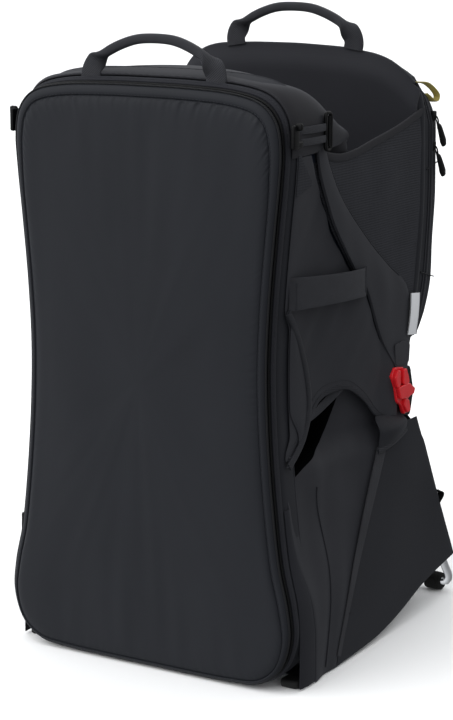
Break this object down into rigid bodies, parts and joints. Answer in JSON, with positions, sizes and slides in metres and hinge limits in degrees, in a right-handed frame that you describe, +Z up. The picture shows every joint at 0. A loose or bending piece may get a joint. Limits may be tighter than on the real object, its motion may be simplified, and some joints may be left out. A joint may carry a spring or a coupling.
{
  "type": "baby carrier backpack",
  "caption": "Framed child carrier backpack standing on its open kickstand, harness side zipped under a cover, with a padded collar, leg openings and carry handles.",
  "frame": {"origin": "on the floor, under the middle of the bounding box", "axes": "+Z up, +X to the right of the person who wears it, -Y out of the harness side"},
  "size_m": [0.3748, 0.458, 0.746],
  "materials": {
    "shell": "woven nylon",
    "mesh": "mesh",
    "lining": "matte",
    "webbing": "ribbed webbing",
    "foam": "padded",
    "plastic": "satin",
    "latch": "satin",
    "rubber": "matte",
    "tube": "satin"
  },
  "bodies": {
    "carrier": {"gusset_band": "shell", "back_hoop_tube": "tube", "back_mesh_panel": "mesh", "cover_zip_slider": "plastic", "shoulder_strap_left": "foam", "shoulder_strap_right": "foam", "hip_belt_wing_left": "foam", "hip_belt_wing_right": "foam", "lumbar_pad": "foam", "hip_belt_buckle": "plastic", "front_leg_tube_left": "tube", "front_leg_tube_right": "tube", "hinge_hub_left": "plastic", "hinge_hub_right": "plastic", "pivot_pin_left": "tube", "pivot_pin_right": "tube", "front_foot_left": "rubber", "front_foot_right": "rubber", "cockpit_frame_tube": "tube", "collar_pad": "shell", "mesh_side_left": "mesh", "mesh_side_right": "mesh", "wing_panel_left": "shell", "wing_panel_right": "shell", "tension_wing_left": "shell", "tension_wing_right": "shell", "cockpit_back_wall": "lining", "rear_pack": "shell", "triglide_left": "plastic", "triglide_right": "plastic", "triglide_strap_left": "webbing", "triglide_strap_right": "webbing", "side_grab_strap_left": "webbing", "side_grab_strap_right": "webbing", "stirrup_strap_left": "webbing", "stirrup_strap_right": "webbing", "cockpit_front_wall": "lining", "child_strap_left": "foam", "child_strap_right": "foam", "child_buckle": "plastic", "skirt_front_left": "shell", "skirt_front_right": "shell", "skirt_side_left": "shell", "skirt_side_right": "shell", "skirt_rear": "shell", "skirt_floor": "shell"},
    "kickstand": {"kickstand_tube": "tube", "rear_foot_left": "rubber", "rear_foot_right": "rubber"},
    "latch_left": {"latch_lever_left": "latch"},
    "latch_right": {"latch_lever_right": "latch"},
    "cover": {"harness_cover": "shell"},
    "front_carry_handle": {"front_handle": "webbing"},
    "rear_carry_handle": {"rear_handle": "webbing"},
    "seat": {"seat_pad": "foam", "seat_shell": "lining"},
    "slider_upper": {"zip_slider_upper": "plastic"},
    "puller_upper": {"zip_puller_upper": "plastic"},
    "slider_lower": {"zip_slider_lower": "plastic"},
    "puller_lower": {"zip_puller_lower": "plastic"}
  },
  "joints": [
    {"name": "kickstand_fold", "type": "hinge", "parent": "carrier", "child": "kickstand", "pos_m": [0, 0.069, 0.288], "axis": [-1, 0, 0], "range_deg": [0, 55], "deforming": ["skirt_side_left", "skirt_side_right", "skirt_rear", "skirt_floor"]},
    {"name": "latch_left_pull", "type": "hinge", "parent": "carrier", "child": "latch_left", "pos_m": [-0.18, 0.054, 0.306], "axis": [1, 0, 0], "range_deg": [0, 25], "stiffness_Nm_per_rad": 0.05},
    {"name": "latch_right_pull", "type": "hinge", "parent": "carrier", "child": "latch_right", "pos_m": [0.18, 0.054, 0.306], "axis": [1, 0, 0], "range_deg": [0, 25], "stiffness_Nm_per_rad": 0.05},
    {"name": "cover_unzip", "type": "hinge", "parent": "carrier", "child": "cover", "pos_m": [0, -0.217, 0.009], "axis": [1, 0, 0], "range_deg": [0, 80]},
    {"name": "front_handle_flop", "type": "hinge", "parent": "carrier", "child": "front_carry_handle", "pos_m": [0, -0.199, 0.668], "axis": [1, 0, 0], "range_deg": [-30, 60], "stiffness_Nm_per_rad": 0.05},
    {"name": "rear_handle_flop", "type": "hinge", "parent": "carrier", "child": "rear_carry_handle", "pos_m": [0, 0.109, 0.687], "axis": [1, 0, 0], "range_deg": [-70, 60], "stiffness_Nm_per_rad": 0.05},
    {"name": "seat_height", "type": "slide", "parent": "carrier", "child": "seat", "axis": [0, 0, 1], "range_m": [0, 0.06]},
    {"name": "slider_upper_run", "type": "slide", "parent": "carrier", "child": "slider_upper", "axis": [0, 0, 1], "range_m": [0, 0.03]},
    {"name": "puller_upper_swing", "type": "hinge", "parent": "slider_upper", "child": "puller_upper", "pos_m": [0.1715, 0.154, 0.607], "axis": [1, 0, 0], "range_deg": [-30, 30]},
    {"name": "slider_lower_run", "type": "slide", "parent": "carrier", "child": "slider_lower", "axis": [0, 0, 1], "range_m": [-0.12, 0]},
    {"name": "puller_lower_swing", "type": "hinge", "parent": "slider_lower", "child": "puller_lower", "pos_m": [0.1715, 0.154, 0.571], "axis": [1, 0, 0], "range_deg": [-30, 30]}
  ]
}
